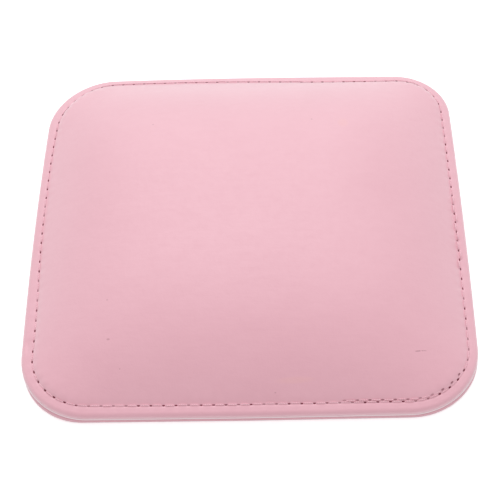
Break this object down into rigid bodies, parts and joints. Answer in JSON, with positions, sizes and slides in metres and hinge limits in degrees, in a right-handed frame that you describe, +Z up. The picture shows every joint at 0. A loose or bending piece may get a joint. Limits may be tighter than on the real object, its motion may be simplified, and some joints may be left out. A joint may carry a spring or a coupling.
{
  "type": "manicure hand rest",
  "caption": "Nearly square crowned cushion that a hand lies on during a manicure: sheet leather over foam, sewn round its rim to a flat base.",
  "frame": {"origin": "middle of the flat underside, on the surface that the pad lies on", "axes": "+X across the pad's width, +Y along its depth, away from the person whose hand lies on it, +Z up through the crown"},
  "size_m": [0.2, 0.1914, 0.0251],
  "materials": {
    "cover": "satin, fine grain, pink",
    "foam": "matte, cream foam",
    "board": "matte, grey pulp board",
    "thread": "semi-matte, pale pink"
  },
  "bodies": {
    "root": {"top_cover": "cover", "foam_pad": "foam", "base_cover": "cover", "base_board": "board", "needle_thread": "thread", "bobbin_thread": "thread"}
  },
  "joints": []
}
